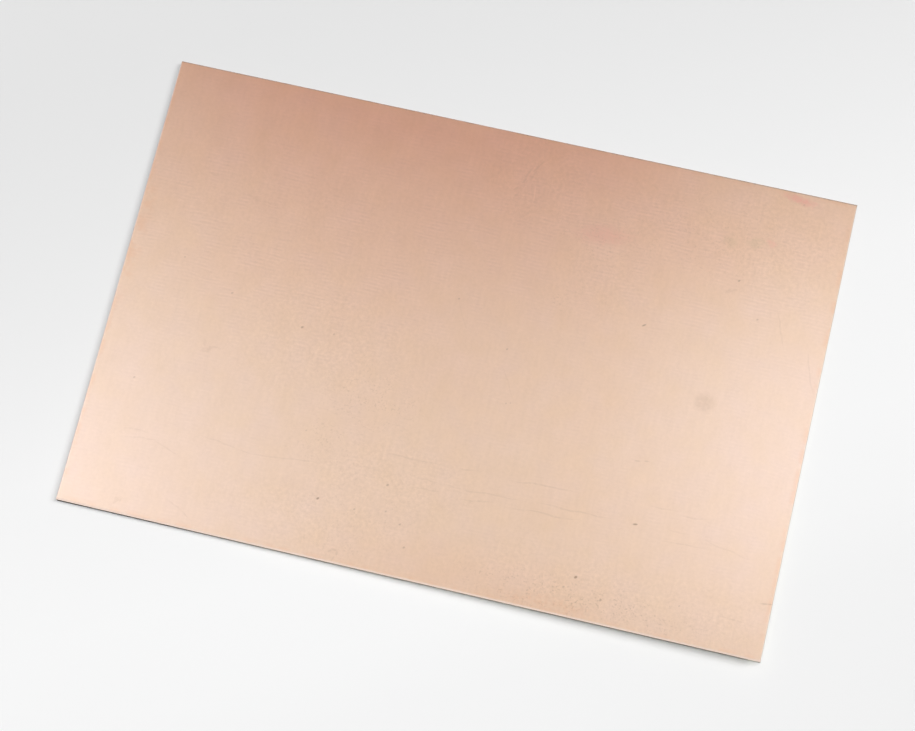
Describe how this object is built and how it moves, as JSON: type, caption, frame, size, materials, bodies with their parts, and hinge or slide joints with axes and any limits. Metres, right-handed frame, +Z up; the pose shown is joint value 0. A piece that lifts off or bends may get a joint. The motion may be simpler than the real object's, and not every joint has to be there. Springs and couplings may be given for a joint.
{
  "type": "copper clad board",
  "caption": "Flat blank of glass-epoxy laminate with copper foil bonded over one face, for etching or milling a circuit board.",
  "frame": {"origin": "centre of the underside, the bare laminate face that the board lies on", "axes": "+X along the long edges, +Y along the short edges, +Z up through the copper face"},
  "size_m": [0.15, 0.1, 0.0016],
  "materials": {
    "laminate": "satin",
    "copper": "satin"
  },
  "bodies": {
    "root": {"laminate_panel": "laminate", "copper_foil": "copper"}
  },
  "joints": []
}
